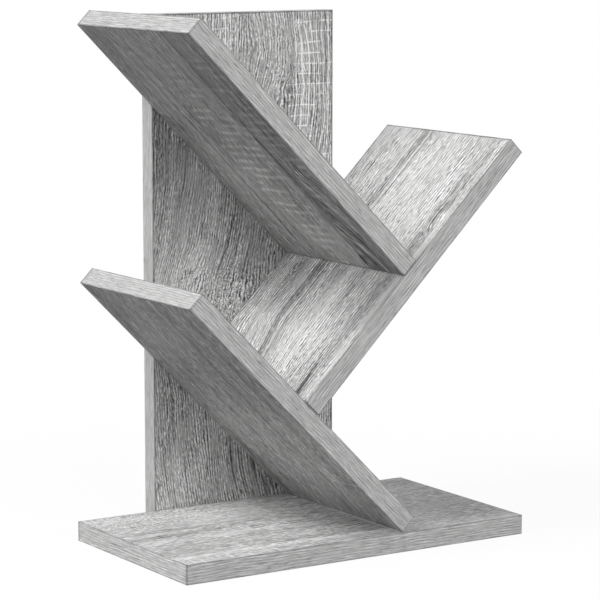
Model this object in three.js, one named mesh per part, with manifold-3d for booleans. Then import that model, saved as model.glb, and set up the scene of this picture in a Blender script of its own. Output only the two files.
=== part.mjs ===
import * as THREE from 'three';
import { mergeVertices } from 'three/addons/utils/BufferGeometryUtils.js';
import Module from 'manifold-3d';

// Tree shaped bookshelf for a desk: a base, an upright trunk behind it and three shelves.
// Each shelf leans at half a right angle, so its square-cut foot lies flat on the shelf below it.
// Millimetres, +Z up, +Y towards the back. The origin is on the floor, under the whole's middle.

// Boards
const baseLength = 300;
const trunkWidth = 165;
const trunkHeight = 400;
const shelfLength = 260;
const shelfDepth = 165;
const boardThickness = 15;
// How far to the side of the trunk's middle line each shelf's lowest corner stands
const landingOffset = 37.8;
const seatGap = 0.3;

// Edge bands, glued round every board
const bandThickness = 0.8;
const bandChamfer = 0.35;
const glueLine = 0.2;

// Screws, driven from the back through the trunk
const screwLength = 50;
const headDiameter = 9.5;
const headRim = 0.7;
const headSink = 0.3;
const shoulderDiameter = 6;
const rootDiameter = 4.4;
const screwTipLength = 4;
const screwTipDiameter = 1.6;
const socketWidth = 4;
const socketDepth = 2.4;
const screwClearance = 0.3;
const pilotSpare = 2;

// Fluted dowels
const dowelDiameter = 8;
const dowelLength = 30;
const dowelChamfer = 0.9;
const fluteDepth = 0.4;
const dowelClearance = 0.2;
const dowelEndGap = 0.5;
// Wood left between the bottom of a dowel's hole and the far side of the board
const blindSkin = 5;

// Places of the fasteners along the stretch where a board bears on the trunk
const screwShares = [0.18, 0.82];
const dowelShares = [0.36, 0.64];
// Places of the dowels under a shelf's foot, from its front edge to where the screws end
const seatDowelShares = [0.2, 0.8];

// Cuts run past the surface that they open by this much
const overrun = 2;

const holeSides = 16;
const screwSides = 16;
const fluteCount = 12;

const lean = Math.PI / 4;
const right = new THREE.Vector3(1, 0, 0);
const back = new THREE.Vector3(0, 1, 0);
const up = new THREE.Vector3(0, 0, 1);
const left = right.clone().negate();
const front = back.clone().negate();

const trunkBack = (shelfDepth + boardThickness) / 2;
const trunkFront = trunkBack - boardThickness;
const shelfMiddle = trunkFront - shelfDepth / 2;
const edgeWidth = bandThickness + glueLine;

const faceHoleDepth = boardThickness - blindSkin;
const dowelInFace = faceHoleDepth - dowelEndGap;
const edgeHoleDepth = dowelLength - dowelInFace + dowelEndGap;
const dowelHoleDiameter = dowelDiameter + 2 * dowelClearance;
const pilotDiameter = rootDiameter + 2 * screwClearance;
const pilotDepth = headSink + screwLength - boardThickness + pilotSpare;

const foil = { color: 0xa8a8a6, roughness: 0.62, metalness: 0 };
const edging = { color: 0xb9b9b7, roughness: 0.55, metalness: 0 };
const zinc = { color: 0xb8bcc0, roughness: 0.35, metalness: 0.9 };
const beech = { color: 0xcaa877, roughness: 0.75, metalness: 0 };

const wasm = await Module();
wasm.setup();

function toSolid(geometry) {
	const bare = geometry.clone();
	bare.deleteAttribute('normal');
	bare.deleteAttribute('uv');
	const welded = mergeVertices(bare);
	const mesh = new wasm.Mesh({
		numProp: 3,
		vertProperties: welded.attributes.position.array,
		triVerts: new Uint32Array(welded.index.array),
	});
	return new wasm.Manifold(mesh);
}

function toGeometry(solid) {
	const mesh = solid.getMesh();
	const geometry = new THREE.BufferGeometry();
	geometry.setAttribute('position', new THREE.BufferAttribute(mesh.vertProperties, 3));
	geometry.setIndex(new THREE.BufferAttribute(mesh.triVerts, 1));
	geometry.computeVertexNormals();
	return geometry;
}

function carve(geometry, cutters) {
	let solid = toSolid(geometry);
	for (const cutter of cutters) {
		solid = solid.subtract(toSolid(cutter));
	}
	return toGeometry(solid);
}

function addPiece(group, name, geometry, finish) {
	const piece = new THREE.Mesh(geometry, new THREE.MeshStandardMaterial(finish));
	piece.name = name;
	group.add(piece);
}

// The turn and shift that lay a shape's X and Y along two directions, from an origin
function placement(origin, xAxis, yAxis) {
	const zAxis = new THREE.Vector3().crossVectors(xAxis, yAxis);
	return new THREE.Matrix4().makeBasis(xAxis, yAxis, zAxis).setPosition(origin);
}

// Turns a shape that runs along Y, so that it starts at a point and runs in a direction
function aim(geometry, start, direction) {
	geometry.applyQuaternion(new THREE.Quaternion().setFromUnitVectors(back, direction));
	return geometry.translate(start.x, start.y, start.z);
}

// A solid turned about Y, from points of [radius, place along Y] that start and end on the axis
function turned(profile, sides) {
	const points = profile.map(([radius, place]) => new THREE.Vector2(radius, place));
	return new THREE.LatheGeometry(points, sides);
}

// Boards. In a board's own frame its length runs along X from its foot, its width is centred on
// Y, and its thickness rises along Z from its underside. Its cutters are shapes in that frame.
function makeBoard(name, length, width, foot, along, across, edges) {
	const frame = new THREE.Group();
	frame.applyMatrix4(placement(foot, along, across));
	frame.updateMatrixWorld();
	return { name, length, width, along, frame, edges, cutters: [] };
}

function makeBase() {
	const foot = new THREE.Vector3(-baseLength / 2, shelfMiddle, 0);
	const edges = { left, right, front, back };
	return makeBoard('base', baseLength, shelfDepth, foot, right, back, edges);
}

// The trunk stands on its foot, with its underside turned to the front
function makeTrunk() {
	const foot = new THREE.Vector3(0, trunkFront, 0);
	const edges = { bottom: left, top: right, left: front, right: back };
	return makeBoard('trunk', trunkHeight, trunkWidth, foot, up, right, edges);
}

// A shelf that rises to the right where side is 1 and to the left where it is -1
function makeShelf(name, side, footHeight) {
	const foot = new THREE.Vector3(-side * landingOffset, shelfMiddle, footHeight);
	const along = new THREE.Vector3(side * Math.cos(lean), 0, Math.sin(lean));
	const across = side > 0 ? back : front;
	const edges = { foot: left, tip: right, front: front, back: back };
	if (side < 0) {
		edges.front = back;
		edges.back = front;
	}
	return makeBoard(name, shelfLength, shelfDepth, foot, along, across, edges);
}

function bandSection() {
	const section = new THREE.Shape();
	section.moveTo(0, 0);
	section.lineTo(boardThickness, 0);
	section.lineTo(boardThickness, bandThickness - bandChamfer);
	section.lineTo(boardThickness - bandChamfer, bandThickness);
	section.lineTo(bandChamfer, bandThickness);
	section.lineTo(0, bandThickness - bandChamfer);
	return section;
}

// The band on one edge of a board. Those on its long edges cover the ends of the other two.
function bandGeometry(board, outward) {
	const isLong = outward.x === 0;
	const reach = (isLong ? board.width : board.length) / 2;
	const run = isLong ? board.length : board.width - 2 * edgeWidth;
	const heading = new THREE.Vector3().crossVectors(up, outward);
	const start = new THREE.Vector3(board.length / 2, 0, 0);
	start.addScaledVector(outward, reach - bandThickness);
	start.addScaledVector(heading, -run / 2);
	const band = new THREE.ExtrudeGeometry(bandSection(), { depth: run, bevelEnabled: false });
	return band.applyMatrix4(placement(start, up, outward));
}

function coreGeometry(board) {
	const coreLength = board.length - 2 * edgeWidth;
	const coreWidth = board.width - 2 * edgeWidth;
	const core = new THREE.BoxGeometry(coreLength, coreWidth, boardThickness);
	return core.translate(board.length / 2, 0, boardThickness / 2);
}

// The drilled core and its four drilled bands
function addBoard(board) {
	addPiece(board.frame, `${board.name}_board`, carve(coreGeometry(board), board.cutters), foil);
	for (const [edge, outward] of Object.entries(board.edges)) {
		const band = carve(bandGeometry(board, outward), board.cutters);
		addPiece(board.frame, `${board.name}_${edge}_band`, band, edging);
	}
	bookshelf.add(board.frame);
}

// Drills a board from a point of the whole, with a cutter that starts there and runs inwards
function drill(board, cutter, point, inwards) {
	const toBoard = board.frame.matrixWorld.clone().invert();
	const start = point.clone().applyMatrix4(toBoard);
	const direction = inwards.clone().transformDirection(toBoard);
	board.cutters.push(aim(cutter, start, direction));
}

function hole(depth, diameter) {
	const length = depth + overrun;
	const cutter = new THREE.CylinderGeometry(diameter / 2, diameter / 2, length, holeSides);
	return cutter.translate(0, length / 2 - overrun, 0);
}

// The stepped hole through the trunk, with room for a screw's head, cone and shoulder
function countersunkHole() {
	const headRadius = headDiameter / 2 + screwClearance;
	const shoulderRadius = shoulderDiameter / 2 + screwClearance;
	const rimBottom = headSink + headRim;
	const coneBottom = rimBottom + headRadius - shoulderRadius;
	const farSide = boardThickness + overrun;
	return turned([
		[0, -overrun],
		[headRadius, -overrun],
		[headRadius, rimBottom],
		[shoulderRadius, coneBottom],
		[shoulderRadius, farSide],
		[0, farSide],
	], holeSides);
}

// A one-piece connector screw, from the top of its head along Y. Its thread is drawn at the
// root, so it lies clear in the pilot hole that the real thread bites into.
function screwGeometry() {
	const headRadius = headDiameter / 2;
	const shoulderRadius = shoulderDiameter / 2;
	const rootRadius = rootDiameter / 2;
	const coneBottom = headRim + headRadius - shoulderRadius;
	const shoulderBottom = boardThickness - headSink - screwClearance;
	const shank = turned([
		[0, 0],
		[headRadius, 0],
		[headRadius, headRim],
		[shoulderRadius, coneBottom],
		[shoulderRadius, shoulderBottom],
		[rootRadius, shoulderBottom],
		[rootRadius, screwLength - screwTipLength],
		[screwTipDiameter / 2, screwLength],
		[0, screwLength],
	], screwSides);
	const socketRadius = socketWidth / Math.sqrt(3);
	const socketLength = socketDepth + overrun;
	const socket = new THREE.CylinderGeometry(socketRadius, socketRadius, socketLength, 6);
	socket.translate(0, socketLength / 2 - overrun, 0);
	return carve(shank, [socket]);
}

// The outline of a dowel, with a crest and a groove for each flute
function fluteSection() {
	const points = [];
	const steps = 2 * fluteCount;
	for (let step = 0; step < steps; step += 1) {
		const radius = dowelDiameter / 2 - (step % 2) * fluteDepth;
		const angle = (step / steps) * 2 * Math.PI;
		points.push(new THREE.Vector2(radius * Math.cos(angle), radius * Math.sin(angle)));
	}
	return new THREE.Shape(points);
}

// A dowel from its end in the drilled face, along Y: a fluted bar with both ends chamfered
function dowelGeometry() {
	const radius = dowelDiameter / 2;
	const bar = new THREE.ExtrudeGeometry(fluteSection(), { depth: dowelLength, bevelEnabled: false });
	bar.rotateX(-Math.PI / 2);
	const blank = turned([
		[0, 0],
		[radius - dowelChamfer, 0],
		[radius, dowelChamfer],
		[radius, dowelLength - dowelChamfer],
		[radius - dowelChamfer, dowelLength],
		[0, dowelLength],
	], 2 * fluteCount);
	return toGeometry(toSolid(bar).intersect(toSolid(blank)));
}

// A dowel that stands in one board's face and runs into another's edge, from the point on that
// face and the direction out of it
function addDowel(name, host, guest, point, outwards) {
	drill(host, hole(faceHoleDepth, dowelHoleDiameter), point, outwards.clone().negate());
	drill(guest, hole(edgeHoleDepth, dowelHoleDiameter), point, outwards);
	const start = point.clone().addScaledVector(outwards, -dowelInFace);
	addPiece(bookshelf, name, aim(dowelGeometry(), start, outwards), beech);
}

// A screw through the trunk into a board's back edge, where the two meet at a point
function addScrew(name, trunk, board, point) {
	const behind = point.clone().setY(trunkBack);
	drill(trunk, countersunkHole(), behind, front);
	drill(board, hole(pilotDepth, pilotDiameter), point, front);
	const headTop = behind.addScaledVector(front, headSink);
	addPiece(bookshelf, name, aim(screwGeometry(), headTop, front), zinc);
}

// Screws and dowels along the stretch, from start to end, where a board bears on the trunk
function fastenToTrunk(trunk, board, start, end) {
	screwShares.forEach((share, index) => {
		const point = start.clone().lerp(end, share);
		addScrew(`${board.name}_screw_${index + 1}`, trunk, board, point);
	});
	dowelShares.forEach((share, index) => {
		const point = start.clone().lerp(end, share);
		addDowel(`${board.name}_dowel_${index + 1}`, trunk, board, point, front);
	});
}

function fastenBase(trunk, base) {
	const start = new THREE.Vector3(-trunkWidth / 2, trunkFront, boardThickness / 2);
	const end = start.clone().setX(trunkWidth / 2);
	fastenToTrunk(trunk, base, start, end);
}

// A shelf bears on the trunk from its foot to the trunk's side, along the middle of its edge
function fastenShelf(trunk, shelf) {
	const start = shelf.frame.localToWorld(new THREE.Vector3(0, 0, boardThickness / 2));
	start.setY(trunkFront);
	const side = Math.sign(shelf.along.x);
	const bearing = (side * trunkWidth / 2 - start.x) / shelf.along.x;
	const end = start.clone().addScaledVector(shelf.along, bearing);
	fastenToTrunk(trunk, shelf, start, end);
}

// Dowels under a shelf's foot, in the upper face of the shelf that it stands on
function seatShelf(host, guest) {
	const clearDepth = shelfDepth - pilotDepth;
	seatDowelShares.forEach((share, index) => {
		const foot = new THREE.Vector3(-seatGap, 0, boardThickness / 2);
		foot.addScaledVector(guest.edges.front, shelfDepth / 2 - share * clearDepth);
		const point = guest.frame.localToWorld(foot);
		addDowel(`${guest.name}_foot_dowel_${index + 1}`, host, guest, point, guest.along);
	});
}

const bookshelf = new THREE.Group();

const firstFoot = boardThickness + seatGap;
const rise = 2 * landingOffset * Math.tan(lean) + (boardThickness + seatGap) / Math.cos(lean);
const base = makeBase();
const trunk = makeTrunk();
const lowerShelf = makeShelf('lower_shelf', -1, firstFoot);
const middleShelf = makeShelf('middle_shelf', 1, firstFoot + rise);
const upperShelf = makeShelf('upper_shelf', -1, firstFoot + 2 * rise);

fastenBase(trunk, base);
for (const shelf of [lowerShelf, middleShelf, upperShelf]) {
	fastenShelf(trunk, shelf);
}
seatShelf(lowerShelf, middleShelf);
seatShelf(middleShelf, upperShelf);
for (const board of [base, trunk, lowerShelf, middleShelf, upperShelf]) {
	addBoard(board);
}

export default bookshelf;
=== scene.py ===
"""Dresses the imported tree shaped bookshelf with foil-faced boards, edge bands, screws and dowels.

Metres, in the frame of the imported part: +Z up and +Y towards the back. The patterns of the
finishes are worked out in millimetres.
"""

from math import atan2, cos, pi, radians, sin, sqrt
from typing import NamedTuple, Sequence

import bmesh
import bpy
from bpy.props import FloatProperty, FloatVectorProperty, IntProperty, PointerProperty
from mathutils import Matrix, Vector, noise


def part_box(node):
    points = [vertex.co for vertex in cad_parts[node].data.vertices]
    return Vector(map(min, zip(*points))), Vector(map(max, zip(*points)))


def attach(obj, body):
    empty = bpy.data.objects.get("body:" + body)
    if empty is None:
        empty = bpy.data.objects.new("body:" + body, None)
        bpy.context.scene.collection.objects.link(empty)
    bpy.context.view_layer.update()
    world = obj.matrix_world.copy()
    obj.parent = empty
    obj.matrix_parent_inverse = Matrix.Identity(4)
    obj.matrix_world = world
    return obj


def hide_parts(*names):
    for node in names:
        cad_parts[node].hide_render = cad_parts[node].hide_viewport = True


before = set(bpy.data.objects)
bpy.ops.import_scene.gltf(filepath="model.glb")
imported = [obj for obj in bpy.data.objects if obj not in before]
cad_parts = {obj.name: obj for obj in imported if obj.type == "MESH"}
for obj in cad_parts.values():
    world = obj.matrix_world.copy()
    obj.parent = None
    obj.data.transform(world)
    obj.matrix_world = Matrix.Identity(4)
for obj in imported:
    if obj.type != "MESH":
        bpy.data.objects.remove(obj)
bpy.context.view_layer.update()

bl_info = {
    "name": "Tree Shaped Bookshelf",
    "version": (1, 0, 0),
    "blender": (4, 5, 0),
    "location": "3D Viewport > Sidebar > Bookshelf",
    "description": "Builds the boards, edge bands, fasteners and stage of a tree shaped desk bookshelf",
    "category": "Object",
}

BODY = "root"
MM = 0.001
# How steep the shelves rise
LEAN = pi / 4

RIGHT = Vector((1, 0, 0))
BACK = Vector((0, 1, 0))
UP = Vector((0, 0, 1))


def extent(points):
    """The lowest and the highest X, Y and Z of the points."""
    low = Vector([min(point[axis] for point in points) for axis in range(3)])
    high = Vector([max(point[axis] for point in points) for axis in range(3)])
    return low, high


def span(name, edges):
    """The lowest and highest corners of a board: its core, and the band on each of its edges."""
    nodes = [f"{name}_board"] + [f"{name}_{edge}_band" for edge in edges]
    return extent([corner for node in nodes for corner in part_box(node)])


def size_of(node):
    """How far a CAD node reaches along X, Y and Z."""
    low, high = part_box(node)
    return high - low


THICKNESS = size_of("trunk_board").y
BAND_THICKNESS = size_of("trunk_left_band").x
GLUE_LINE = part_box("trunk_board")[0].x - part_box("trunk_left_band")[1].x
EDGE = BAND_THICKNESS + GLUE_LINE


class Board:
    """A board's own frame, with X along it from its foot, Y across it and Z through it.

    Its edges are named, each with the way that it faces, along and across the board.
    """

    def __init__(self, name, foot, along, across, length, width, edges):
        self.name = name
        self.length = length
        self.width = width
        self.edges = edges
        self.along = along
        through = along.cross(across)
        self.frame = Matrix((along, across, through)).transposed().to_4x4()
        self.frame.translation = foot


def find_base():
    """The base, which lies flat with its foot at the left."""
    edges = {"left": (-1, 0), "right": (1, 0), "front": (0, -1), "back": (0, 1)}
    low, high = span("base", edges)
    foot = Vector((low.x, (low.y + high.y) / 2, low.z))
    return Board("base", foot, RIGHT, BACK, high.x - low.x, high.y - low.y, edges)


def find_trunk():
    """The trunk, which stands on its foot with its underside turned to the front."""
    edges = {"bottom": (-1, 0), "top": (1, 0), "left": (0, -1), "right": (0, 1)}
    low, high = span("trunk", edges)
    foot = Vector(((low.x + high.x) / 2, low.y, low.z))
    return Board("trunk", foot, UP, RIGHT, high.z - low.z, high.x - low.x, edges)


def find_shelf(name, side):
    """A shelf that rises to the right where side is 1 and to the left where it is -1."""
    edges = {"foot": (-1, 0), "tip": (1, 0), "front": (0, -side), "back": (0, side)}
    low, high = span(name, edges)
    along = Vector((side * cos(LEAN), 0, sin(LEAN)))
    lip = THICKNESS * sin(LEAN)
    length = (high.x - low.x - lip) / cos(LEAN)
    foot_x = low.x + lip if side > 0 else high.x - lip
    foot = Vector((foot_x, (low.y + high.y) / 2, low.z))
    return Board(name, foot, along, side * BACK, length, high.y - low.y, edges)


BOARDS = [
    find_base(),
    find_trunk(),
    find_shelf("lower_shelf", -1),
    find_shelf("middle_shelf", 1),
    find_shelf("upper_shelf", -1),
]
# The boards with screws and dowels in their back edge, and those with dowels in their foot as well
SCREWED = ["base", "lower_shelf", "middle_shelf", "upper_shelf"]
SEATED = ["middle_shelf", "upper_shelf"]
# The numbers of the two fasteners of a kind in a joint
PAIR = (1, 2)


# What a user can change


def metres(name, description, default, precision=4):
    """A setting that holds a length in metres."""
    return FloatProperty(
        name=name, description=description, default=default, unit="LENGTH", precision=precision
    )


class FoilSettings(bpy.types.PropertyGroup):
    """The printed foil on the faces of the boards."""

    dark: FloatVectorProperty(
        name="Dark grain", description="Colour of the deepest grain lines",
        subtype="COLOR", default=(0.012, 0.012, 0.012),
    )
    pale: FloatVectorProperty(
        name="Pale grain", description="Colour of the palest, limed grain",
        subtype="COLOR", default=(0.93, 0.93, 0.925),
    )
    tone: FloatProperty(
        name="Tone", description="How pale the foil is on the whole",
        default=0.745, min=0.0, max=1.0, subtype="FACTOR",
    )
    fleck_width: metres("Fleck width", "Width of the short flecks in the grain", 0.0006, 5)
    fleck_length: metres("Fleck length", "Length of the short flecks in the grain", 0.006)
    saw_step: metres("Saw step", "Distance from one saw mark across the grain to the next", 0.008)
    relief: metres("Relief", "Depth of the embossed grain", 0.00003, 6)


class EdgingSettings(bpy.types.PropertyGroup):
    """The bands glued round the boards."""

    tone: FloatProperty(
        name="Tone", description="How pale the bands are on the whole",
        default=0.74, min=0.0, max=1.0, subtype="FACTOR",
    )
    arris: metres("Arris radius", "Radius of the scraped long edges of a band", 0.00035, 5)
    scrape: metres("Scraping", "How far the hand scraped arris wanders", 0.00008, 5)
    station: metres("Station", "Distance between the cross sections of a band", 0.009)


class FastenerSettings(bpy.types.PropertyGroup):
    """The screws behind the trunk and the dowels inside the joints."""

    socket_width: metres("Socket width", "Width of the hexagon socket across its flats", 0.004)
    socket_depth: metres("Socket depth", "Depth of the hexagon socket", 0.0024)
    thread_diameter: metres("Thread diameter", "Diameter over the crests of the thread", 0.0062)
    thread_pitch: metres("Thread pitch", "Distance from one turn of the thread to the next", 0.003)
    zinc: FloatVectorProperty(
        name="Zinc", description="Colour of the zinc plated screws",
        subtype="COLOR", default=(0.56, 0.58, 0.60),
    )
    flutes: IntProperty(
        name="Flutes", description="Number of grooves round a dowel",
        default=18, min=6,
    )
    beech: FloatVectorProperty(
        name="Beech", description="Colour of the beech dowels",
        subtype="COLOR", default=(0.60, 0.40, 0.24),
    )


class StageSettings(bpy.types.PropertyGroup):
    """The floor, the lamps and the camera."""

    lens: FloatProperty(
        name="Lens", description="Focal length of the camera",
        default=162.01, unit="CAMERA",
    )
    room_light: FloatProperty(
        name="Room light", description="Strength of the even light from all round",
        default=0.40,
    )
    key_power: FloatProperty(
        name="Key lamp", description="Power of the soft lamp high at the left",
        default=77.0, unit="POWER",
    )
    front_power: FloatProperty(
        name="Front lamp", description="Power of the wide soft lamp at the front",
        default=45.0, unit="POWER",
    )
    fill_power: FloatProperty(
        name="Fill lamp", description="Power of the weak lamp low at the back right",
        default=10.0, unit="POWER",
    )
    floor_return: FloatProperty(
        name="Floor return", description="Share of the light that the floor sends back up",
        default=0.3, min=0.0, max=1.0, subtype="FACTOR",
    )


class BookshelfSettings(bpy.types.PropertyGroup):
    """All the settings of the bookshelf."""

    foil: PointerProperty(type=FoilSettings)
    edging: PointerProperty(type=EdgingSettings)
    fasteners: PointerProperty(type=FastenerSettings)
    stage: PointerProperty(type=StageSettings)


# Finishes


def find_socket(sockets, key):
    """The socket with an index, an identifier or a name."""
    for socket in sockets:
        if socket.identifier == key:
            return socket
    return sockets[key]


def maths(operation, swapped=False):
    """A method of a signal that adds one Math node, with its other value first where swapped."""

    def add_node(self, *others):
        values = (*others, self) if swapped else (self, *others)
        return self.finish.node("ShaderNodeMath", dict(enumerate(values)), {"operation": operation})

    return add_node


class Signal:
    """What a socket gives. Python's arithmetic on it adds Math nodes."""

    def __init__(self, finish, socket):
        self.finish = finish
        self.socket = socket

    __add__ = __radd__ = maths("ADD")
    __sub__ = maths("SUBTRACT")
    __rsub__ = maths("SUBTRACT", swapped=True)
    __mul__ = __rmul__ = maths("MULTIPLY")
    __truediv__ = maths("DIVIDE")
    __pow__ = maths("POWER")
    __abs__ = maths("ABSOLUTE")
    above = maths("GREATER_THAN")
    least = maths("MINIMUM")
    fraction = maths("FRACT")
    whole = maths("FLOOR")

    def aside(self):
        """How far the value is from halfway between two whole ones."""
        return abs(self.fraction() - 0.5)

    def smooth(self, low, high):
        """Rises smoothly from 0 at low to 1 at high, or falls where low is the larger."""
        values = {"Value": self, "From Min": low, "From Max": high}
        return self.finish.node("ShaderNodeMapRange", values, {"interpolation_type": "SMOOTHSTEP"})

    def other(self, key):
        """Another output of the same node."""
        return Signal(self.finish, find_socket(self.socket.node.outputs, key))


class Finish:
    """A material, or the world, and the nodes that make its look."""

    def __init__(self, owner):
        self.owner = owner
        owner.use_nodes = True
        self.tree = owner.node_tree
        self.tree.nodes.clear()

    def node(self, kind, values=None, settings=None, result=0):
        """Adds a node with the values of its sockets and its other settings, and returns one output."""
        added = self.tree.nodes.new(kind)
        for name, setting in (settings or {}).items():
            setattr(added, name, setting)
        for key, value in (values or {}).items():
            socket = find_socket(added.inputs, key)
            if isinstance(value, Signal):
                self.tree.links.new(value.socket, socket)
            else:
                socket.default_value = value
        if added.outputs:
            return Signal(self, find_socket(added.outputs, result))
        return None

    def place(self):
        """The point on the surface in the piece's own frame, as three signals in millimetres."""
        point = self.node("ShaderNodeTexCoord", result="Object")
        values = {"Vector": point, "Scale": 1 / MM}
        scaled = self.node("ShaderNodeVectorMath", values, {"operation": "SCALE"})
        x = self.node("ShaderNodeSeparateXYZ", {"Vector": scaled}, result="X")
        return x, x.other("Y"), x.other("Z")

    def noise(self, x, y, z, detail=1.0, roughness=0.5):
        """Smooth noise round a half, with a grain of one unit.

        Its places are divided by the size of the grain, in millimetres. On a flat print the last one is
        a layer instead, and each noise has a layer of its own, so that no two are alike.
        """
        place = self.node("ShaderNodeCombineXYZ", {"X": x, "Y": y, "Z": z})
        values = {"Vector": place, "Scale": 1.0, "Detail": detail, "Roughness": roughness}
        return self.node("ShaderNodeTexNoise", values, result="Fac")

    def sway(self, x, y, z, detail=1.0):
        """The same noise round nought."""
        return self.noise(x, y, z, detail) - 0.5

    def blend(self, share, first, second):
        """A colour from first to second by a share."""
        values = {"Factor_Float": share, "A_Color": first, "B_Color": second}
        return self.node("ShaderNodeMix", values, {"data_type": "RGBA"}, "Result_Color")

    def bump(self, height, distance):
        return self.node("ShaderNodeBump", {"Distance": distance, "Height": height})

    def coat(self, **values):
        """Ends a material in one Principled shader, with its sockets by name."""
        named = {name.replace("_", " "): value for name, value in values.items()}
        shader = self.node("ShaderNodeBsdfPrincipled", named)
        self.node("ShaderNodeOutputMaterial", {"Surface": shader})
        return self.owner


def new_finish(name):
    return Finish(bpy.data.materials.new(name))


def opaque(colour):
    return (*colour, 1.0)


class Figure(NamedTuple):
    """How one board was cut, what marks it has and where light and shade are painted on it, in millimetres
    from its foot and its middle line.

    A spot is its middle along and across the board, its reach along and across, and its strength.
    """

    # Which face has the painted light and shade, the patches, the planks and the streaks: 0 is the lower
    # one and 1 the upper one
    face: int
    seed: float
    # How far the tree's heart lies across the board and under its face
    heart: float
    depth: float
    # How much nearer the heart comes for each millimetre along the board
    taper: float
    # How far the grain wanders to the side
    bend: float
    # Painted light and shade: how much paler than usual the marked face is painted in place of light; below
    # nought it is painted shade, as under the lower and upper shelves
    painted_lighting: float
    # How strong the grain is printed
    contrast: float
    # How many times wider and longer than usual its flecks are
    coarse: float
    stretch: float
    # How wide a saw mark is, as a share of the step between two
    stroke: float
    # Spots of curly grain
    curls: Sequence
    # Spots of faint grain, or of bolder grain where their strength is below nought
    calms: Sequence = ()
    # Spots where the grain bulges to the side, by as many millimetres as their strength
    bulges: Sequence = ()
    # Spots of saw marks
    sawing: Sequence = ()
    # How strong the ridges are beside the saw marks
    ridges: float = 0.0
    # Wide, soft spots of painted light and shade, with the change of tone as their strength
    patches: Sequence = ()
    # Where the next plank begins: place across, change of tone from there on
    planks: Sequence = ()
    # Streaks: place across, half width, middle along, reach along, tilt, change of tone. Most are printed
    # lines of grain; the widest are painted light and shade
    streaks: Sequence = ()


# For each board below, the tone shift of its marked face, its patches and its widest streaks are painted
# light and shade; the rest is print
FIGURES = {}

FIGURES["base"] = Figure(
    face=1, seed=3.1, heart=150, depth=30, taper=0.03, bend=14,
    painted_lighting=0.09, contrast=1.3, coarse=1.7, stretch=1.4, stroke=0.1,
    curls=[(46, 60, 85, 34, 1)],
    calms=[(110, -72, 200, 16, 0.3), (262, 0, 78, 120, 0.15), (105, -36, 85, 70, -0.6)],
    bulges=[(118, 8, 40, 26, 6)],
    sawing=[(42, -75, 46, 10, 1)],
    patches=[
        # Painted shade: the first patch darkens the nook by the lower shelf's foot; the others paint light
        # and shade over the base
        (182, 0, 48, 400, -0.16), (84, 55, 52, 50, 0.08), (290, -20, 55, 90, -0.09),
        (80, 8, 70, 60, 0.04), (128, 0, 36, 60, -0.03), (258, -74, 72, 26, -0.12),
        (128, -70, 40, 20, -0.06), (292, 72, 28, 26, -0.13),
    ],
    planks=[(-59.5, -0.05)],
    streaks=[
        (17, 4, 45, 90, 0, -0.1), (4, 5, 40, 90, 0.02, -0.11), (-12, 12, 50, 110, 0, 0.05),
        # The streak at 275 that spans the whole base is a painted shadow of the shelves above its right end
        (0, 110, 275, 90, 0, -0.11), (6, 1.8, 119, 16, -0.7, -0.13), (2, 1.8, 112, 15, -0.7, 0.09),
        (-30, 2.2, 60, 70, 0, -0.11), (-58, 1.4, 120, 90, 0, -0.09), (-66, 3.6, 70, 190, 0.01, 0.09),
        (-72, 1.3, 110, 90, 0.04, -0.09), (12, 2, 168, 40, -0.35, -0.1),
    ],
)

FIGURES["trunk"] = Figure(
    face=0, seed=8.7, heart=-190, depth=26, taper=0.02, bend=10,
    painted_lighting=-0.02, contrast=1.35, coarse=1.4, stretch=0.62, stroke=0.09, ridges=1,
    curls=[(180, -28, 34, 48, 1.1), (352, 34, 38, 28, 0.7)],
    calms=[(258, -60, 62, 50, 0.35)],
    bulges=[
        (372, 26, 34, 26, 7), (335, 58, 55, 30, 6), (120, -40, 150, 110, -20), (165, -50, 60, 60, -10),
    ],
    sawing=[(342, 67, 105, 29, 1), (384, -24, 36, 22, 0.8)],
    # Painted shade: the first patch darkens the trunk's front under the upper shelf; the others paint light
    patches=[(302, -78, 88, 32, -0.09), (26, -72, 46, 38, 0.09), (186, -36, 44, 54, 0.07)],
    streaks=[
        (40, 6, 335, 34, 0, -0.06), (-49, 1.5, 100, 52, 0, -0.24), (-61, 1.3, 46, 40, 0, -0.22),
        (-39.5, 1.3, 128, 36, 0, -0.18), (2.5, 1.6, 48, 46, 0, -0.2), (10, 2, 40, 40, 0, -0.18),
        (19.5, 1.6, 52, 36, 0, -0.2), (24.5, 3, 36, 40, 0, -0.12), (-6.5, 1.7, 226, 44, 0.1, -0.22),
        (11, 1.4, 205, 34, 0.08, -0.16),
    ],
)

FIGURES["lower_shelf"] = Figure(
    face=0, seed=14.3, heart=140, depth=34, taper=0.02, bend=10,
    painted_lighting=-0.06, contrast=1.2, coarse=1.8, stretch=1.3, stroke=0.22,
    curls=[(170, 20, 30, 18, 0.5)],
    bulges=[(60, 10, 30, 24, 5)],
    sawing=[(54, 60, 9, 24, 0.5)],
    # Painted shade: the first patch darkens the underside towards the tip; the others paint light and shade
    patches=[(248, -10, 138, 400, -0.17), (60, -20, 90, 90, 0.06), (226, -76, 75, 30, -0.08)],
    streaks=[
        (-67, 6, 130, 400, 0, -0.05), (35, 1.6, 120, 90, 0.04, -0.08), (62, 9, 130, 300, 0, -0.04),
        (-69, 5, 45, 60, 0, -0.08), (31, 2.4, 70, 50, -0.16, -0.1), (28, 7, 235, 60, 0, -0.06),
    ],
)

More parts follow.
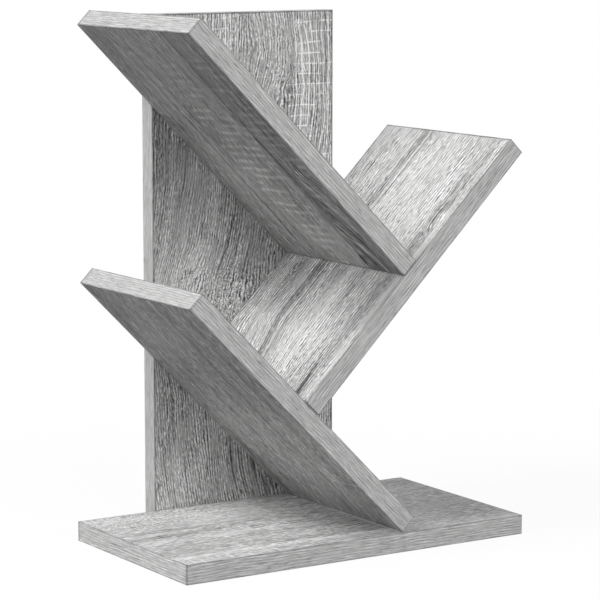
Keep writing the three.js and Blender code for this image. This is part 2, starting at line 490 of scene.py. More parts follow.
FIGURES["middle_shelf"] = Figure(
    face=1, seed=21.9, heart=170, depth=30, taper=0.02, bend=8,
    painted_lighting=0.015, contrast=1.2, coarse=1.75, stretch=0.65, stroke=0.1,
    curls=[(130, 60, 170, 28, 0.7)],
    calms=[(90, -78, 200, 9, 0.7), (205, -8, 95, 120, -0.6), (45, -40, 60, 44, -0.5)],
    bulges=[(180, -66, 16, 10, 4), (0, 30, 62, 75, -14)],
    patches=[
        # Painted shade: the first patch is a painted shadow of the upper shelf's foot across this shelf;
        # the others paint light and shade
        (101, 0, 44, 400, -0.13), (200, -24, 85, 58, 0.08), (70, -10, 50, 50, 0.03),
        (168, 0, 18, 400, 0.04), (118, 36, 18, 50, -0.06),
    ],
    streaks=[
        (50, 13, 97, 30, 0, -0.06), (25, 6, 130, 400, 0, -0.15), (29, 1.1, 70, 90, 0, -0.13),
        (21, 1.3, 60, 50, 0, 0.07), (16.5, 1.4, 130, 400, 0, -0.15), (12, 1.1, 60, 60, 0.03, -0.1),
        (20, 1.2, 205, 100, 0, 0.08), (13.5, 1.2, 205, 90, 0, 0.05), (-65, 3.2, 6, 40, 0.157, -0.3),
        (-16, 24, 50, 90, 0, 0.07), (-67, 9, 130, 400, 0, -0.07), (-76, 4.5, 60, 260, 0, 0.06),
        (-62, 1.3, 205, 42, 0.1, -0.16), (-69, 1.3, 182, 24, -0.08, -0.16),
    ],
)

FIGURES["upper_shelf"] = Figure(
    face=0, seed=33.5, heart=-170, depth=36, taper=0.02, bend=8,
    painted_lighting=-0.085, contrast=1, coarse=1.8, stretch=1.2, stroke=0.3,
    curls=[(110, 64, 20, 10, 0.6)],
    bulges=[(-20, 82, 150, 45, 26)],
    sawing=[(112, 4, 125, 34, 0.5), (150, 58, 110, 26, 0.35)],
    patches=[
        # Painted shade: the first patch darkens the underside towards the tip; the others paint light and
        # shade
        (250, 0, 112, 400, -0.13), (66, -38, 80, 62, 0.14), (10, 20, 50, 34, 0.13),
        (226, -74, 66, 28, -0.08), (80, 76, 95, 24, 0.07), (260, 64, 130, 30, 0.07),
        (38, 50, 40, 14, 0.05),
    ],
    planks=[(39, -0.12)],
    streaks=[
        (-42.5, 1.5, 100, 190, 0, -0.16), (-28, 2.6, 190, 120, 0, -0.06), (-47, 3, 100, 200, 0, 0.05),
        (-27, 6, 100, 200, 0, -0.03), (40.5, 4.5, 0, 42, 0, -0.12), (44, 1.7, 6, 48, -0.1, 0.2),
        (45, 4.2, 75, 90, -0.04, -0.11), (52.5, 1.8, 95, 90, -0.03, 0.16), (43, 2, 190, 120, 0, -0.11),
        (55, 1.5, 205, 90, 0, 0.06), (61, 1.9, 190, 100, 0, -0.12), (63, 2.4, 110, 75, 0, -0.12),
        (66.5, 1.5, 200, 90, 0, 0.05), (71.5, 1.5, 200, 90, 0, -0.12), (79, 1.5, 190, 110, 0, -0.1),
    ],
)


# The square of the way out from a spot's middle, by its reach: where the spot ends, and where a firm one
# has its full strength. A soft one falls short of that even in its middle.
SPOT_END = 1.15
FIRM = 0.35
SOFT = -0.3
# How wide the soft edge of a streak is, as a share of its half width
STREAK_EDGE = 0.55


def spots_mask(spots, along, across, fray=0, core=FIRM):
    """The strength of spots that fade out from a core, over edges that may be frayed."""
    mask = 0
    for middle, side, reach, breadth, strength in spots:
        far = ((along - middle) / reach) ** 2 + ((across - side) / breadth) ** 2
        mask = (far + fray).smooth(SPOT_END, core) * strength + mask
    return mask


def streaks_tone(streaks, along, bent, fray):
    """The change of tone by streaks that narrow to a point at both ends."""
    tone = 0
    for side, half_width, middle, reach, tilt, change in streaks:
        run = along - middle
        aside = abs(bent - side - run * tilt) / half_width
        taper = 1 - (run / reach) ** 2
        tone = (taper - aside + fray).smooth(0, STREAK_EDGE) * change + tone
    return tone


# How much a stroke of the saw leans, and how far apart the ridges along the grain are
STROKE_LEAN = 0.04
RIDGE_STEP = 5.2
# How much paler a stroke and a ridge are
STROKE_TONE = 0.28
RIDGE_TONE = 0.30


def saw_tone(finish, foil, figure, along, across, bent, fray, layer):
    """The pale marks of a rough saw: strokes across the grain, with ridges along it."""
    worn = spots_mask(figure.sawing, along, across, fray * 0.8)
    drift = finish.sway(across / 45, along / 70, layer + 33)
    step = (along - across * STROKE_LEAN) / (foil.saw_step / MM) + drift * 0.8
    stroke = step.aside().smooth(figure.stroke, figure.stroke * 0.4)
    length = finish.noise(across / 22, step.whole() * 5.7, layer + 35).smooth(0.40, 0.54)
    dash = finish.noise(across / 1.6, step.whole() * 3.1, layer + 36).smooth(0.36, 0.52)
    marks = stroke * length * (dash * 0.6 + 0.4) * STROKE_TONE
    ridge_step = bent / RIDGE_STEP + finish.sway(along / 40, across / 20, layer + 37) * 1.2
    ridge = ridge_step.aside().smooth(0.15, 0.05)
    broken = finish.noise(along / 40, ridge_step.whole() * 3.3, layer + 39, 2).smooth(0.30, 0.48)
    return (marks + ridge * broken * RIDGE_TONE * figure.ridges) * worn


def fibre_lines(finish, along, fibre, spacing, length, wander, layer):
    """Broken lines along the grain: how far a point lies from one, and how strong that one is there."""
    step = fibre / spacing + finish.sway(along / 45, fibre / 13, layer) * wander
    return step.aside(), finish.noise(along / length, step.whole() * 3.7, layer + 1)


def hatching(finish, along, fibre, spacing, length, layer):
    """Fine lines along the grain, pale and dark by turns, from 1 to -1 where they are strongest."""
    aside, strength = fibre_lines(finish, along, fibre, spacing, length, 1.4, layer)
    return (1 - aside * 4) * strength.smooth(0.32, 0.64)


def pores(finish, along, fibre, spacing, length, layer):
    """Thin, broken, dark lines along the grain."""
    aside, strength = fibre_lines(finish, along, fibre, spacing, length, 1.8, layer)
    return aside.smooth(0.17, 0.04) * strength.smooth(0.44, 0.60)


def border_tone(rim, width, depth):
    """The dark joint line round a face or band, and the pale line that the scraper leaves inside it."""
    joint = rim.smooth(width * 1.4, width * 0.6)
    scraped = abs(rim - width * 2).smooth(width, width * 0.2)
    return scraped * 0.04 - joint * depth


# Equal steps of tone look equal where the colour follows this power of it
TONE_POWER = 2.2


def end_print(finish, foil, tone, height, **shine):
    """Ends a print, whose colour goes from the dark one at tone 0 to the pale one at tone 1."""
    colour = finish.blend(tone**TONE_POWER, opaque(foil.dark), opaque(foil.pale))
    return finish.coat(Base_Color=colour, Normal=finish.bump(height, foil.relief), **shine)


# How many layers further on the upper face of a board reads its noise
FACE_LAYERS = 50
# The change of tone by each part of the grain where that is strongest
PALE_FLECK = 0.16
DARK_FLECK = 0.15
FINE_GRAIN = 0.30
HATCHING = 0.18
PORE = 0.20
RING_BAND = 0.24
CLOUD = 0.12
PALE_RING = 0.06
DARK_RING = 0.10
# Half the width in which one printed plank gives way to the next
PLANK_JOINT = 0.7
# The joint line round a board's face: how wide it is and how dark
FACE_RIM = 0.45
FACE_JOINT = 0.07


def foil_finish(board, foil):
    """The grey, limed oak print of one board, from the way that the board was cut, with painted light and
    shade on its marked face.
    """
    figure = FIGURES[board.name]
    finish = new_finish(f"{board.name}_foil")
    along, across, through = finish.place()
    upper = through.above(THICKNESS / MM / 2)
    marked = 1 - abs(upper - figure.face)
    layer = upper * FACE_LAYERS + figure.seed

    fray = finish.sway(along / 12, across / 4, layer + 5, 2) * 1.2
    curly = spots_mask(figure.curls, along, across, fray)
    bent = across + finish.sway(along / 110, across / 48, layer) * figure.bend
    bent = bent + finish.sway(along / 24, across / 11, layer + 3) * (curly * 3 + 1.5)
    bent = bent - spots_mask(figure.bulges, along, across, core=SOFT)
    ring = ((bent - figure.heart) ** 2 + figure.depth**2) ** 0.5 - along * figure.taper
    fibre = bent + finish.sway(along / 5, across / 3, layer + 4) * (curly * 2.5 + 0.9)

    wide = foil.fleck_width / MM * figure.coarse
    long = foil.fleck_length / MM * figure.stretch
    straight = finish.noise(fibre / wide, along / long, layer + 7, 2, 0.6)
    short = finish.noise(fibre / (wide * 1.2), along / (long * 0.32), layer + 8, 2, 0.6)
    fleck = straight + (short - straight) * curly.least(1.0)
    fine = finish.sway(fibre / (wide * 0.6), along / (long * 0.5), layer + 9)
    hatch = hatching(finish, along, fibre, wide * 2.7, long * 1.3, layer + 19)
    pore = pores(finish, along, fibre, wide * 3.7, long * 1.9, layer + 23)
    band = finish.sway(ring / 7, along / 240, layer + 11, 2)
    line = finish.noise(ring / 1.6, along / 80, layer + 13, 2)
    cloud = finish.sway(along / 50, across / 28, layer + 15, 2)

    strong = finish.noise(along / 26, across / 15, layer + 27).smooth(0.30, 0.68)
    vigour = strong * 0.65 + curly * 0.35 + 0.7
    vigour = vigour - spots_mask(figure.calms, along, across, core=SOFT)
    grain = fleck.smooth(0.53, 0.70) * PALE_FLECK - fleck.smooth(0.48, 0.31) * DARK_FLECK
    grain = (grain + fine * FINE_GRAIN + hatch * HATCHING - pore * PORE) * vigour
    grain = grain + band * RING_BAND + cloud * CLOUD
    grain = grain + line.smooth(0.58, 0.74) * PALE_RING - line.smooth(0.42, 0.28) * DARK_RING

    # Painted light and shade: the patches and the widest streaks darken where the other boards cast shade
    # and lighten other places; the planks and the narrow streaks are print
    own = streaks_tone(figure.streaks, along, bent, fray * 0.5)
    own = own + spots_mask(figure.patches, along, across, core=SOFT)
    for place, change in figure.planks:
        own = across.smooth(place - PLANK_JOINT, place + PLANK_JOINT) * change + own
    marks = saw_tone(finish, foil, figure, along, across, bent, fray, layer) * (marked * 0.6 + 0.4)
    rim_along = (along - EDGE / MM).least((board.length - EDGE) / MM - along)
    rim = rim_along.least((board.width / 2 - EDGE) / MM - abs(across))
    # The marked face is painted paler or darker as a whole here, as painted light and shade, and takes the
    # patches and wide streaks in own
    tone = grain * figure.contrast + foil.tone + (own + figure.painted_lighting) * marked + marks
    tone = tone + border_tone(rim, FACE_RIM, FACE_JOINT)

    height = fleck * 0.6 + fine * 0.3 + marks * 2 - pore * 0.4
    return end_print(finish, foil, tone, height, Roughness=0.62 - fleck * 0.12, Specular_IOR_Level=0.3)


# How much bolder the lines on the base's bands are
BASE_BAND_LINES = 1.18
# Painted light and shade: how much paler or darker than the others some bands are painted, in place of the
# light that falls on them
BAND_PAINTED_LIGHT = {
    "base_left_edging": 0.05,
    "upper_shelf_tip_edging": -0.03,
    "lower_shelf_tip_edging": -0.01,
}
# The joint line along a band: how wide it is and how dark, and how dark the one at its end is
BAND_RIM = 0.95
BAND_JOINT = 0.11
CORNER_JOINT = 0.16


def edging_finish(name, edging, foil, run, seed):
    """The grey print of one band, painted paler or darker on some bands in place of light: fine lines along
    it, in its own frame with X along and Y outwards.
    """
    finish = new_finish(name)
    along, outward, up = finish.place()
    bowed = up + finish.sway(along / 40, seed, 0.5) * 2.4
    line = finish.noise(along / 16, bowed / 0.7, seed, 2, 0.6) - 0.5
    lines = hatching(finish, along, bowed, 2.1, 15, seed + 9)
    fleck = finish.noise(along / 7, bowed / 0.75, seed + 5)
    cloud = finish.sway(along / 45, outward / 9, seed + 7)
    bold = BASE_BAND_LINES if name.startswith("base_") else 1.0
    # Some bands are painted paler or darker here, as painted light and shade
    tone = edging.tone + BAND_PAINTED_LIGHT.get(name, 0) + (line * 0.44 + lines * 0.10) * bold
    tone = tone + cloud * 0.05 - fleck.smooth(0.42, 0.28) * 0.14 + fleck.smooth(0.58, 0.72) * 0.08
    rim = up.least(THICKNESS / MM - up)
    end = run / 2 / MM - abs(along)
    tone = tone + border_tone(rim, BAND_RIM, BAND_JOINT) - end.smooth(1.1, 0.4) * CORNER_JOINT
    return end_print(finish, foil, tone, line, Roughness=0.52 + line * 0.1, Specular_IOR_Level=0.35)


PALE_CHIP = (0.30, 0.22, 0.14)
DARK_CHIP = (0.10, 0.07, 0.045)
CHIP_DUST = (0.34, 0.27, 0.19)
BEECH_RAY = (0.22, 0.12, 0.06)


def chipboard_finish():
    """Raw chipboard, which shows inside the holes and the joint lines. It is made only once."""
    if "chipboard" in bpy.data.materials:
        return bpy.data.materials["chipboard"]
    finish = new_finish("chipboard")
    along, across, through = finish.place()
    values = {"X": along / 2.5, "Y": across / 1.4, "Z": through / 0.7}
    values = {"Vector": finish.node("ShaderNodeCombineXYZ", values), "Scale": 1.0}
    chip = finish.node("ShaderNodeTexVoronoi", values, result="Distance")
    dust = finish.noise(along / 0.5, across / 0.5, through / 0.5, 2)
    chips = finish.blend(chip.smooth(0.1, 0.9), opaque(PALE_CHIP), opaque(DARK_CHIP))
    return finish.coat(
        Base_Color=finish.blend(dust.smooth(0.35, 0.7), chips, opaque(CHIP_DUST)),
        Roughness=0.85 + dust * 0.1,
        Normal=finish.bump(chip, 0.2 * MM),
    )


def zinc_finish(fasteners):
    """Bright zinc plate with faint drawing marks and dulled patches."""
    finish = new_finish("zinc_plate")
    x, y, z = finish.place()
    dulled = finish.noise(x / 2.2, y / 2.2, z / 2.2, 3)
    drawn = finish.noise(x / 0.6, y / 0.6, z / 0.08, 2)
    paler = [min(1.0, level * 1.25) for level in fasteners.zinc]
    return finish.coat(
        Base_Color=finish.blend(dulled.smooth(0.3, 0.7), opaque(fasteners.zinc), opaque(paler)),
        Metallic=0.96 + dulled * 0.04,
        Roughness=0.24 + dulled * 0.22,
        Normal=finish.bump(drawn, 0.01 * MM),
    )


def beech_finish(fasteners):
    """Beech with the short dark rays that it shows along a dowel."""
    finish = new_finish("beech")
    x, y, z = finish.place()
    ray = finish.noise(x / 0.35, y / 0.35, z / 2.4, 2).smooth(0.56, 0.68)
    grain = finish.noise(x / 0.9, y / 0.9, z / 22, 2)
    darker = [level * 0.62 for level in fasteners.beech]
    wood = finish.blend(grain.smooth(0.35, 0.65), opaque(fasteners.beech), opaque(darker))
    return finish.coat(
        Base_Color=finish.blend(ray * 0.6, wood, opaque(BEECH_RAY)),
        Roughness=0.7 + grain * 0.1,
        Normal=finish.bump(grain + ray, 0.03 * MM),
    )


# Shapes


def add_skin(shape, rings):
    """Joins rings of points, which all have the same number of points, and returns their corners."""
    loops = [[shape.verts.new(point) for point in ring] for ring in rings]
    for near, far in zip(loops, loops[1:]):
        for index, corner in enumerate(near):
            following = (index + 1) % len(near)
            shape.faces.new((corner, near[following], far[following], far[index]))
    return loops


def add_loft(shape, rings):
    """Adds a closed skin through rings of points."""
    loops = add_skin(shape, rings)
    shape.faces.new(list(reversed(loops[0])))
    shape.faces.new(loops[-1])


def to_mesh(name, shape, *finishes):
    """A mesh from the shape, with its normals turned outwards and its finishes in its slots."""
    bmesh.ops.recalc_face_normals(shape, faces=shape.faces)
    mesh = bpy.data.meshes.new(name)
    shape.to_mesh(mesh)
    shape.free()
    for finish in finishes:
        mesh.materials.append(finish)
    return mesh


def smooth_shaded(mesh, sharp_from):
    """Shades a mesh smooth, apart from its edges that turn by so many degrees."""
    mesh.polygons.foreach_set("use_smooth", [True] * len(mesh.polygons))
    mesh.set_sharp_from_angle(angle=radians(sharp_from))


def add_object(context, name, data):
    added = bpy.data.objects.new(name, data)
    context.scene.collection.objects.link(added)
    return added


def add_piece(context, name, mesh, place, node):
    """Puts a piece where its CAD node is, which it then stands for."""
    piece = add_object(context, name, mesh)
    piece.matrix_world = place
    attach(piece, BODY)
    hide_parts(node)
    return piece


# The turns at which a rounded edge has its points
QUARTER_TURN = [pi / 2 * step / 4 for step in range(5)]


def circle(radius, height, points=48):
    """A ring of points round Z."""
    turns = [2 * pi * point / points for point in range(points)]
    return [Vector((radius * cos(turn), radius * sin(turn), height)) for turn in turns]


def shaped_ring(reach_at, height, points=48):
    """A ring of points round Z, whose reach a function gives for each turn."""
    ring = []
    for point in circle(1, height, points):
        reach = reach_at(atan2(point.y, point.x))
        ring.append(Vector((point.x * reach, point.y * reach, height)))
    return ring


def hexagon(width, height):
    """A ring of points on a hexagon round Z, with its width across the flats."""
    return shaped_ring(lambda turn: width / 2 / cos(turn % (pi / 3) - pi / 6), height)


def pointing(start, direction):
    """The frame with its origin at start and its Z along a direction."""
    frame_there = direction.to_track_quat("Z", "X").to_matrix().to_4x4()
    frame_there.translation = start
    return frame_there


# Where the fasteners are

SCREWS = [f"{board}_screw_{number}" for board in SCREWED for number in PAIR]
DOWELS = [f"{board}_dowel_{number}" for board in SCREWED for number in PAIR]
DOWELS += [f"{board}_foot_dowel_{number}" for board in SEATED for number in PAIR]

HEAD_RADIUS = size_of("base_screw_1").x / 2
SCREW_LENGTH = size_of("base_screw_1").y
PEG_RADIUS = size_of("base_dowel_1").x / 2
PEG_LENGTH = size_of("base_dowel_1").y
# How far the head of a screw lies below the back of the trunk
HEAD_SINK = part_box("trunk_board")[1].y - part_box("base_screw_1")[1].y

HEAD_RIM = 0.7 * MM
SHOULDER_RADIUS = 3 * MM
ROOT_RADIUS = 2.2 * MM
TIP_RADIUS = 0.8 * MM
TIP_LENGTH = 4 * MM
HOLE_CLEARANCE = 0.3 * MM
PEG_CLEARANCE = 0.2 * MM
PEG_END_GAP = 0.5 * MM
OVERRUN = 2 * MM


def screw_place(node):
    """The frame of a screw, from the top of its head towards its tip."""
    low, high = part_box(node)
    return pointing(Vector(((low.x + high.x) / 2, high.y, (low.z + high.z) / 2)), -BACK)


def dowel_place(node):
    """The frame of a dowel, which lies along the shelf at its foot, and otherwise to the front."""
    low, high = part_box(node)
    direction = -BACK
    if "_foot_" in node:
        direction = next(board.along for board in BOARDS if node.startswith(board.name))
    return pointing((low + high) / 2 - direction * PEG_LENGTH / 2, direction)


def add_drillings(shape):
    """Adds the room that every screw and dowel has in the boards."""
    wide = HEAD_RADIUS + HOLE_CLEARANCE
    narrow = SHOULDER_RADIUS + HOLE_CLEARANCE
    pilot = ROOT_RADIUS + HOLE_CLEARANCE
    through = THICKNESS - HEAD_SINK + HOLE_CLEARANCE / 2
    stepped = [
        circle(wide, -HEAD_SINK - OVERRUN),
        circle(wide, HEAD_RIM),
        circle(narrow, HEAD_RIM + wide - narrow),
        circle(narrow, through),
        circle(pilot, through),
        circle(pilot, SCREW_LENGTH + OVERRUN),
    ]
    plain = [circle(PEG_RADIUS + PEG_CLEARANCE, end) for end in (-PEG_END_GAP, PEG_LENGTH + PEG_END_GAP)]
    rooms = [(screw_place(node), stepped) for node in SCREWS]
    rooms += [(dowel_place(node), plain) for node in DOWELS]
    for place, rings in rooms:
        add_loft(shape, [[place @ point for point in ring] for ring in rings])


def is_drilled(piece):
    """Whether a screw or a dowel reaches into the piece, by their boxes."""
    least, most = extent([piece.matrix_world @ Vector(corner) for corner in piece.bound_box])
    boxes = [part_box(node) for node in SCREWS + DOWELS]
    return any(
        all(least[axis] < high[axis] and low[axis] < most[axis] for axis in range(3)) for low, high in boxes
    )


def drill(context, pieces, raw):
    """Cuts the room for the screws and dowels out of the pieces."""
    pieces = [piece for piece in pieces if is_drilled(piece)]
    shape = bmesh.new()
    add_drillings(shape)
    drillings = add_object(context, "drillings", to_mesh("drillings", shape, raw))
    for piece in pieces:
        cutter = piece.modifiers.new("drillings", "BOOLEAN")
        cutter.solver = "EXACT"
        cutter.material_mode = "TRANSFER"
        cutter.object = drillings
    context.view_layer.update()
    graph = context.evaluated_depsgraph_get()
    for piece in pieces:
        whole = piece.data
        name = whole.name
        piece.data = bpy.data.meshes.new_from_object(piece.evaluated_get(graph))
        piece.modifiers.clear()
        bpy.data.meshes.remove(whole)
        piece.data.name = name
    bpy.data.objects.remove(drillings)


# Pieces


class BOOKSHELF_OT_panels(bpy.types.Operator):
    """Build the five foil-faced boards, drilled for their fasteners"""

    bl_idname = "bookshelf.panels"
    bl_label = "Boards"

    foil_edge: metres("Foil edge", "Chamfer where the foil meets the glue line", 0.00015, 5)

    def ring(self, board, height, inset):
        """The corners of a board's core, drawn in by an inset."""
        near = EDGE + inset
        far = board.length - EDGE - inset
        half = board.width / 2 - EDGE - inset
        corners = ((near, -half), (far, -half), (far, half), (near, half))
        return [Vector((x, y, height)) for x, y in corners]

    def shape_of(self, board):
        shape = bmesh.new()
        edge = self.foil_edge
        stations = ((0, edge), (edge, 0), (THICKNESS - edge, 0), (THICKNESS, edge))
        add_loft(shape, [self.ring(board, height, inset) for height, inset in stations])
        for face in shape.faces:
            face.normal_update()
            face.material_index = 0 if abs(face.normal.z) > 0.5 else 1
        return shape

    def execute(self, context):
        foil = context.scene.bookshelf.foil
        raw = chipboard_finish()
        pieces = []
        for board in BOARDS:
            name = f"{board.name}_panel"
            mesh = to_mesh(name, self.shape_of(board), foil_finish(board, foil), raw)
            node = f"{board.name}_board"
            pieces.append(add_piece(context, name, mesh, board.frame, node))
        drill(context, pieces, raw)
        return {"FINISHED"}


class BOOKSHELF_OT_edging(bpy.types.Operator):
    """Build the twenty edge bands, with their arrises scraped round"""

    bl_idname = "bookshelf.edging"
    bl_label = "Edge bands"

    # How far from a band's end its sections are close together
    end_reach = 1.4 * MM
    # How long the waves of the hand scraping are
    scrape_wave = 11 * MM
    # How far apart the seeds of two bands are
    seed_step = 7.3

    def section(self, edging, along, run, drift):
        """A ring of points round the band, at a place along it."""
        place = Vector((along / self.scrape_wave, drift, 0))
        arris = edging.arris + edging.scrape * noise.noise(place)
        end = run / 2 - abs(along)
        inset = 0
        if end < edging.arris:
            inset = edging.arris - sqrt(edging.arris**2 - (edging.arris - end) ** 2)
        outer = -inset
        inner = -BAND_THICKNESS
        arris = min(arris, (outer - inner) * 0.9)
        lower = []
        for turn in QUARTER_TURN:
            lower.append((outer - arris + arris * sin(turn), arris - arris * cos(turn)))
        upper = [(depth, THICKNESS - height) for depth, height in reversed(lower)]
        corners = [(inner, 0), *lower, *upper, (inner, THICKNESS)]
        return [Vector((along, depth, height)) for depth, height in corners]

    def stations(self, edging, run):
        """The places of the sections along a band: close together round its ends."""
        close = [edging.arris * (1 - cos(turn)) for turn in QUARTER_TURN] + [self.end_reach]
        plain = run - 2 * self.end_reach
        count = round(plain / edging.station)
        left = [place - run / 2 for place in close]
        middle = [run / 2 - self.end_reach - plain * step / count for step in range(count - 1, 0, -1)]
        right = [-place for place in reversed(left)]
        return left + middle + right

    def shape_of(self, edging, run, seed):
        shape = bmesh.new()
        places = self.stations(edging, run)
        add_loft(shape, [self.section(edging, along, run, seed) for along in places])
        return shape

    def frame_of(self, board, side):
        """The band's frame, with Y outwards from the board's edge and Z through the board."""
        outward = Vector((*side, 0))
        reach = board.width / 2 if side[1] else board.length / 2
        place = Matrix((outward.cross(UP), outward, UP)).transposed().to_4x4()
        place.translation = Vector((board.length / 2, 0, 0)) + outward * reach
        return board.frame @ place

    def execute(self, context):
        edging = context.scene.bookshelf.edging
        foil = context.scene.bookshelf.foil
        pieces = []
        for board in BOARDS:
            for edge, side in board.edges.items():
                run = board.length if side[1] else board.width - 2 * EDGE
                name = f"{board.name}_{edge}_edging"
                seed = self.seed_step * (len(pieces) + 1)
                finish = edging_finish(name, edging, foil, run, seed)
                mesh = to_mesh(name, self.shape_of(edging, run, seed), finish)
                place = self.frame_of(board, side)
                node = f"{board.name}_{edge}_band"
                pieces.append(add_piece(context, name, mesh, place, node))
        drill(context, pieces, chipboard_finish())
        return {"FINISHED"}


class BOOKSHELF_OT_screws(bpy.types.Operator):
    """Build the eight connector screws, with hexagon sockets and real threads"""

    bl_idname = "bookshelf.screws"
    bl_label = "Screws"

    chamfer = 0.25 * MM
    # The cone that the drill leaves under the socket, and the flat border round the socket's mouth
    cone_radius = 0.2 * MM
    cone_depth = 0.7 * MM
    mouth_border = 0.9 * MM
    # The thread's steps a turn, half its crest, half its foot by the pitch, and how deep the foot lies
    turn_steps = 24
    half_crest = 0.06 * MM
    half_foot = 0.22
    foot_depth = 0.15 * MM

    def shank(self, fasteners):
        """The rings of the turned screw, from the bottom of its socket round to its tip."""
        lead = self.chamfer
        width = fasteners.socket_width
        depth = fasteners.socket_depth
        shoulder_end = THICKNESS - HEAD_SINK - HOLE_CLEARANCE
        return [
            circle(self.cone_radius, depth + self.cone_depth),
            hexagon(width, depth),
            hexagon(width, lead),
            hexagon(width + 2 * lead, 0),
            circle(width / 2 + self.mouth_border, 0),
            circle(HEAD_RADIUS - lead, 0),
            circle(HEAD_RADIUS - lead * 0.3, lead * 0.3),
            circle(HEAD_RADIUS, lead),
            circle(HEAD_RADIUS, HEAD_RIM),
            circle(SHOULDER_RADIUS, HEAD_RIM + HEAD_RADIUS - SHOULDER_RADIUS),
            circle(SHOULDER_RADIUS, shoulder_end - lead),
            circle(ROOT_RADIUS, shoulder_end),
            circle(ROOT_RADIUS, SCREW_LENGTH - TIP_LENGTH),
            circle(TIP_RADIUS, SCREW_LENGTH - lead),
            circle(TIP_RADIUS / 2, SCREW_LENGTH),
        ]

    def thread(self, fasteners):
        """The rings of the thread's ridge, which fades in and out at its ends."""
        start = THICKNESS + HOLE_CLEARANCE
        reach = SCREW_LENGTH - TIP_LENGTH * 0.6 - start
        steps = round(reach / fasteners.thread_pitch * self.turn_steps)
        foot = ROOT_RADIUS - self.foot_depth
        half = fasteners.thread_pitch * self.half_foot
        flat = self.half_crest
        rings = []
        for step in range(steps + 1):
            turn = 2 * pi * step / self.turn_steps
            height = start + reach * step / steps
            fade = min(1, step / self.turn_steps, (steps - step) / self.turn_steps)
            crest = ROOT_RADIUS + (fasteners.thread_diameter / 2 - ROOT_RADIUS) * fade
            ring = []
            for radius, rise in ((foot, -half), (crest, -flat), (crest, flat), (foot, half)):
                ring.append(Vector((radius * cos(turn), radius * sin(turn), height + rise)))
            rings.append(ring)
        return rings

    def execute(self, context):
        fasteners = context.scene.bookshelf.fasteners
        shape = bmesh.new()
        add_loft(shape, self.shank(fasteners))
        add_loft(shape, self.thread(fasteners))
        mesh = to_mesh("connector_screw", shape, zinc_finish(fasteners))
        smooth_shaded(mesh, 35)
        for node in SCREWS:
            name = node.replace("screw", "connector")
            add_piece(context, name, mesh, screw_place(node), node)
        return {"FINISHED"}


class BOOKSHELF_OT_dowels(bpy.types.Operator):
    """Build the twelve fluted dowels, with rounded ends"""

    bl_idname = "bookshelf.dowels"
    bl_label = "Dowels"

    flute_depth = 0.4 * MM
    # How many points the outline of a flute has
    flute_points = 6
    rounding = 0.9 * MM

    def outline(self, fasteners, shrink, height):
        """A ring of points round the flutes, drawn in by a shrink at a dowel's ends."""

        def reach_at(turn):
            wave = cos(turn * fasteners.flutes)
            fluted = PEG_RADIUS - self.flute_depth * (0.5 - 0.5 * wave)
            return min(fluted, PEG_RADIUS - shrink)

        return shaped_ring(reach_at, height, fasteners.flutes * self.flute_points)

    def execute(self, context):
        fasteners = context.scene.bookshelf.fasteners
        ends = []
        for turn in QUARTER_TURN:
            ends.append((self.rounding * (1 - sin(turn)), self.rounding * (1 - cos(turn))))
        stations = ends + [(shrink, PEG_LENGTH - height) for shrink, height in reversed(ends)]
        shape = bmesh.new()
        add_loft(shape, [self.outline(fasteners, *station) for station in stations])
        mesh = to_mesh("fluted_peg", shape, beech_finish(fasteners))
        smooth_shaded(mesh, 50)
        for node in DOWELS:
            name = node.replace("dowel", "peg")
            add_piece(context, name, mesh, dowel_place(node), node)
        return {"FINISHED"}


# Stage

WHITE = (1, 1, 1, 1)
FLOOR_REACHES = (0.25, 0.6, 1.2, 3.0, 30.0)
FLOOR_DROP = 0.2 * MM
# Where the floor's shade begins to fade and where it has gone, in millimetres, and how strong it is
SHADE_FROM = 260
SHADE_TO = 620
SHADE = 0.08
LAMP_AIM = Vector((0, 0, 0.18))
LAMP_DISTANCE = 3.2
# The camera's place, and how far it looks down and turns to the right, in degrees
CAMERA_PLACE = (-1.0964, -1.7184, 0.4814)
CAMERA_DIP = 8.310
CAMERA_TURN = 32.625
SENSOR_WIDTH = 36


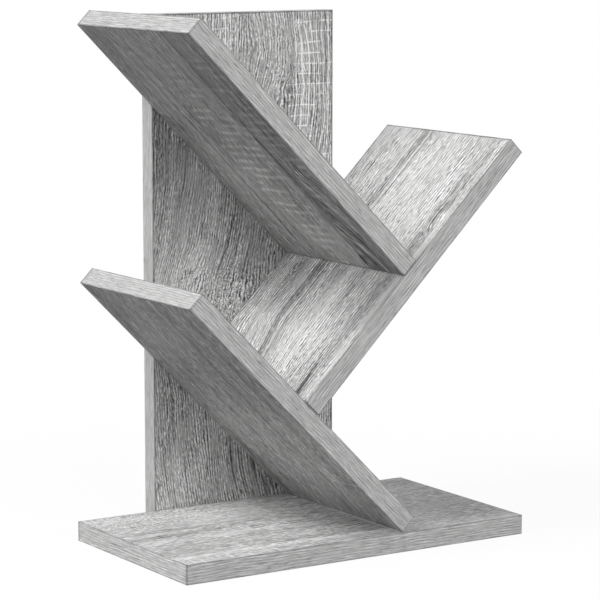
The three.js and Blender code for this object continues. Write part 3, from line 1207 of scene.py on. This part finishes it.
class BOOKSHELF_OT_stage(bpy.types.Operator):
    """Set up the pale floor, the soft lamps, the white room and the camera"""

    bl_idname = "bookshelf.stage"
    bl_label = "Floor, lamps and camera"

    def end_in(self, output, finish, lighting, shown):
        """Ends a finish in what lights the object and what shows behind it."""
        camera = finish.node("ShaderNodeLightPath", result="Is Camera Ray")
        seen = camera + camera.other("Is Glossy Ray") + camera.other("Is Transmission Ray")
        values = {"Fac": seen.least(1.0), 1: lighting, 2: shown}
        both = finish.node("ShaderNodeMixShader", values)
        finish.node(output, {"Surface": both})

    def floor_finish(self, stage):
        finish = new_finish("studio_floor")
        x, y, z = finish.place()
        away = ((x**2 + y**2) ** 0.5).smooth(SHADE_FROM, SHADE_TO)
        mottle = finish.noise(x / 60, y / 60, z, 3)
        pale = finish.blend(mottle, opaque([0.90] * 3), opaque([0.94] * 3))
        lit = finish.node("ShaderNodeBsdfDiffuse", {"Color": pale})
        white = finish.node("ShaderNodeEmission", {"Color": WHITE, "Strength": 1.0})
        share = away * SHADE + (1 - SHADE)
        shown = finish.node("ShaderNodeMixShader", {"Fac": share, 1: lit, 2: white})
        dim = finish.node("ShaderNodeBsdfDiffuse", {"Color": opaque([stage.floor_return] * 3)})
        self.end_in("ShaderNodeOutputMaterial", finish, dim, shown)
        return finish.owner

    def add_floor(self, context, stage):
        shape = bmesh.new()
        loops = add_skin(shape, [circle(reach, -FLOOR_DROP, 64) for reach in FLOOR_REACHES])
        shape.faces.new(loops[0])
        floor = add_object(context, "floor", to_mesh("floor", shape, self.floor_finish(stage)))

    def add_lamp(self, context, name, power, size, turn, rise):
        """Adds a round lamp that looks at the shelf, by its turn from +X and its rise, in degrees."""
        lamp = bpy.data.lights.new(name, "AREA")
        lamp.shape = "DISK"
        lamp.size = size
        lamp.energy = power
        turn = radians(turn)
        rise = radians(rise)
        away = Vector((cos(turn) * cos(rise), sin(turn) * cos(rise), sin(rise)))
        holder = add_object(context, name, lamp)
        holder.location = LAMP_AIM + away * LAMP_DISTANCE
        holder.rotation_mode = "QUATERNION"
        holder.rotation_quaternion = away.to_track_quat("Z", "Y")

    def add_room(self, context, stage):
        world = bpy.data.worlds.new("studio")
        context.scene.world = world
        finish = Finish(world)
        white = finish.node("ShaderNodeBackground", {"Color": WHITE, "Strength": 1.0})
        dim = finish.node("ShaderNodeBackground", {"Color": WHITE, "Strength": stage.room_light})
        self.end_in("ShaderNodeOutputWorld", finish, dim, white)

    def add_camera(self, context, stage):
        lens = bpy.data.cameras.new("camera")
        lens.lens = stage.lens
        lens.sensor_width = SENSOR_WIDTH
        lens.clip_start = 0.1
        lens.clip_end = 100
        camera = add_object(context, "camera", lens)
        camera.location = CAMERA_PLACE
        camera.rotation_euler = (radians(90 - CAMERA_DIP), 0, radians(-CAMERA_TURN))
        context.scene.camera = camera

    def execute(self, context):
        stage = context.scene.bookshelf.stage
        context.scene.view_settings.view_transform = "Standard"
        self.add_floor(context, stage)
        self.add_lamp(context, "key_lamp", stage.key_power, 1.6, 181, 45)
        self.add_lamp(context, "front_lamp", stage.front_power, 2.2, 270, 24)
        self.add_lamp(context, "fill_lamp", stage.fill_power, 1.8, 40, 14)
        self.add_room(context, stage)
        self.add_camera(context, stage)
        return {"FINISHED"}


STEPS = (
    BOOKSHELF_OT_stage,
    BOOKSHELF_OT_panels,
    BOOKSHELF_OT_edging,
    BOOKSHELF_OT_screws,
    BOOKSHELF_OT_dowels,
)


class BOOKSHELF_PT_sidebar(bpy.types.Panel):
    """Lists the steps that build the bookshelf, and its settings"""

    bl_idname = "BOOKSHELF_PT_sidebar"
    bl_label = "Tree Shaped Bookshelf"
    bl_space_type = "VIEW_3D"
    bl_region_type = "UI"
    bl_category = "Bookshelf"

    def draw(self, context):
        for step in STEPS:
            self.layout.operator(step.bl_idname)
        settings = context.scene.bookshelf
        for group in (settings.foil, settings.edging, settings.fasteners, settings.stage):
            box = self.layout.box()
            for name in type(group).__annotations__:
                box.prop(group, name)


SETTINGS = (FoilSettings, EdgingSettings, FastenerSettings, StageSettings, BookshelfSettings)
CLASSES = (*SETTINGS, *STEPS, BOOKSHELF_PT_sidebar)


def register():
    for registered in CLASSES:
        bpy.utils.register_class(registered)
    bpy.types.Scene.bookshelf = PointerProperty(type=BookshelfSettings)


def unregister():
    del bpy.types.Scene.bookshelf
    for registered in reversed(CLASSES):
        bpy.utils.unregister_class(registered)


def main():
    register()
    for step in STEPS:
        family, action = step.bl_idname.split(".")
        getattr(getattr(bpy.ops, family), action)()


if __name__ == "__main__":
    main()
